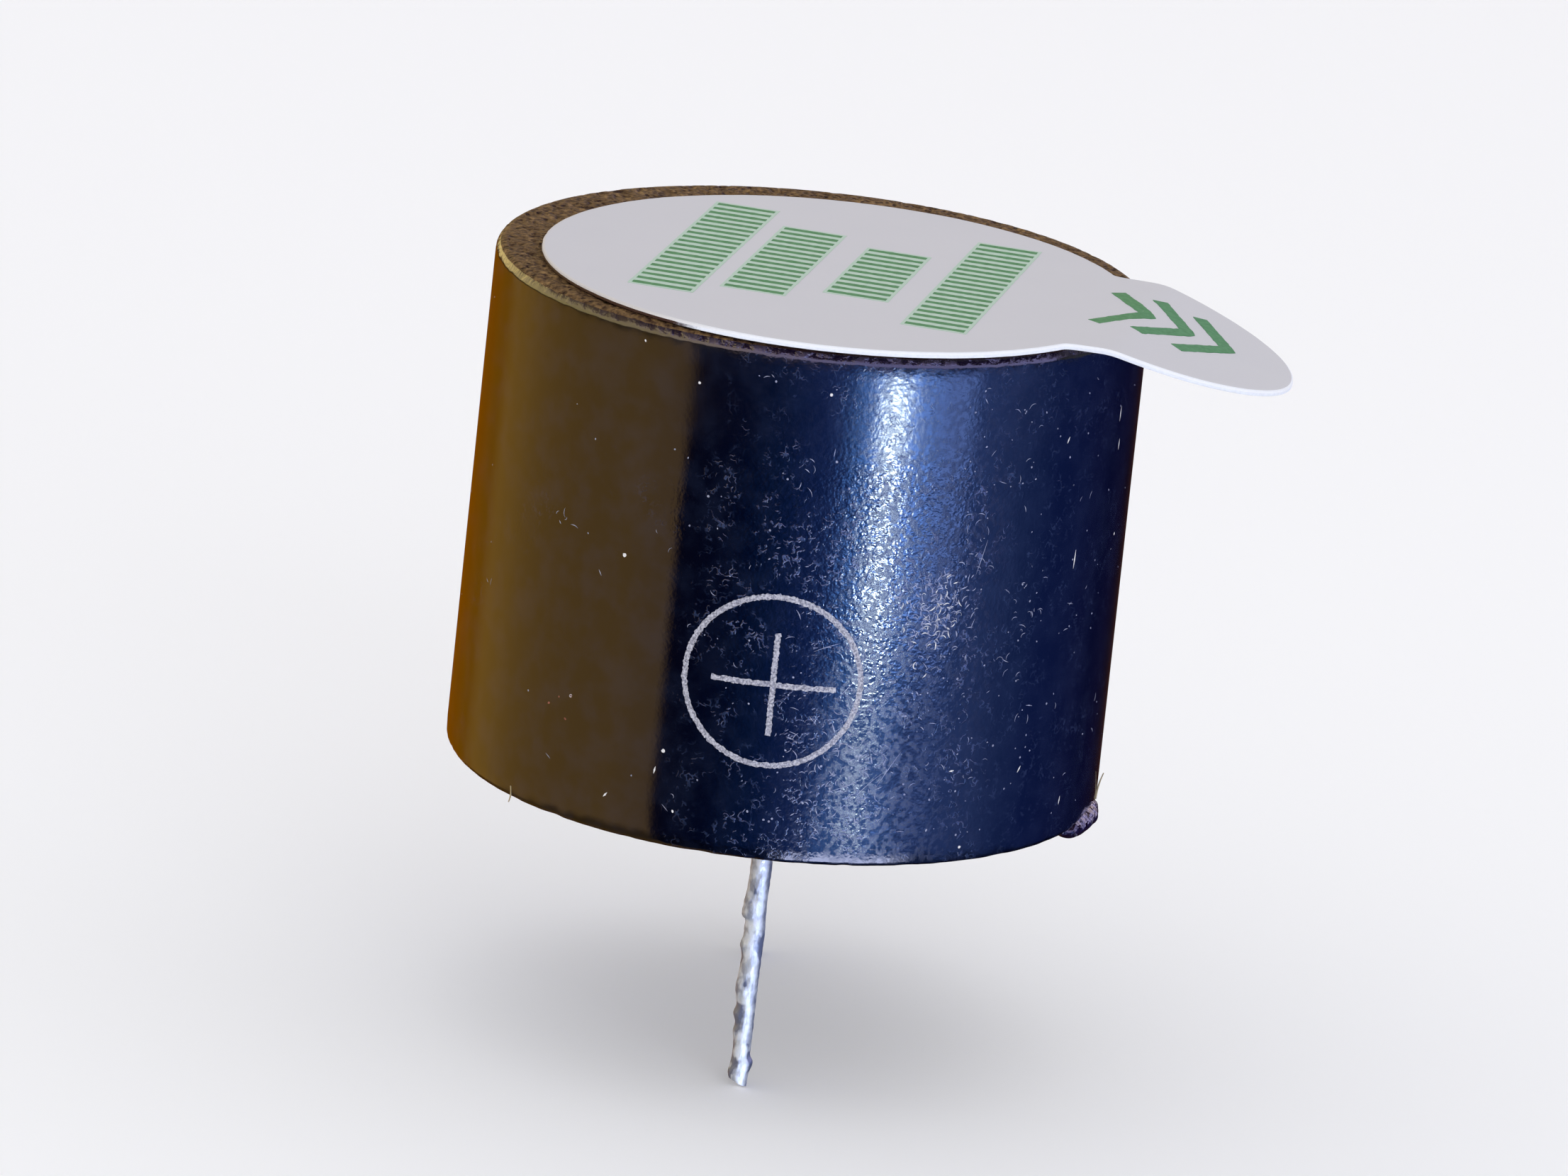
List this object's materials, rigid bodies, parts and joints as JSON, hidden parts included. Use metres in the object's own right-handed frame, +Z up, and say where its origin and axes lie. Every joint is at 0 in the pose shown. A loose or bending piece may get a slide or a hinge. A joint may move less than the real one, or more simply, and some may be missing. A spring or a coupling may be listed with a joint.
{
  "type": "magnetic buzzer",
  "caption": "Round through-hole sounder: moulded cup with a sealed sound hole and pull tab, electromagnet drive inside, resin base with two wire pins.",
  "frame": {"origin": "centre of the two-pin pattern on the seating plane, which is the housing's lower rim", "axes": "+Z up through the sound hole, -Y towards the positive pin, +X towards the pull tab"},
  "size_m": [0.0145, 0.012, 0.0145],
  "materials": {
    "housing": "moulded, glossy side with fine scratches, rough top",
    "seal": "matte white film with green print",
    "spring_steel": "rolled, bright",
    "soft_iron": "turned, plated",
    "ring_plastic": "moulded, satin",
    "ferrite": "sintered, dull",
    "drive_wire": "enamelled wire, glossy",
    "feedback_wire": "enamelled wire, glossy",
    "plated_steel": "stamped, zinc plated",
    "laminate": "pressed laminate, satin",
    "copper": "etched foil",
    "chip_black": "moulded, satin",
    "tin": "tinned",
    "chip_ceramic": "fired, dull",
    "solder": "solidified, smooth",
    "pin_metal": "hot-tinned wire, lumpy",
    "resin": "cast epoxy, glossy"
  },
  "bodies": {
    "root": {"housing": "housing", "seal_label": "seal", "diaphragm": "spring_steel", "armature_disc": "soft_iron", "support_ring": "ring_plastic", "magnet_ring": "ferrite", "pole_core": "soft_iron", "drive_winding": "drive_wire", "feedback_winding": "feedback_wire", "yoke_plate": "plated_steel", "circuit_board": "laminate", "copper_tracks": "copper", "transistor_body": "chip_black", "transistor_legs": "tin", "resistor_body": "chip_ceramic", "resistor_caps": "tin", "chip_solder": "solder", "lead_solder": "solder", "pin_solder": "solder", "positive_pin": "pin_metal", "negative_pin": "pin_metal", "potting_resin": "resin"}
  },
  "joints": []
}
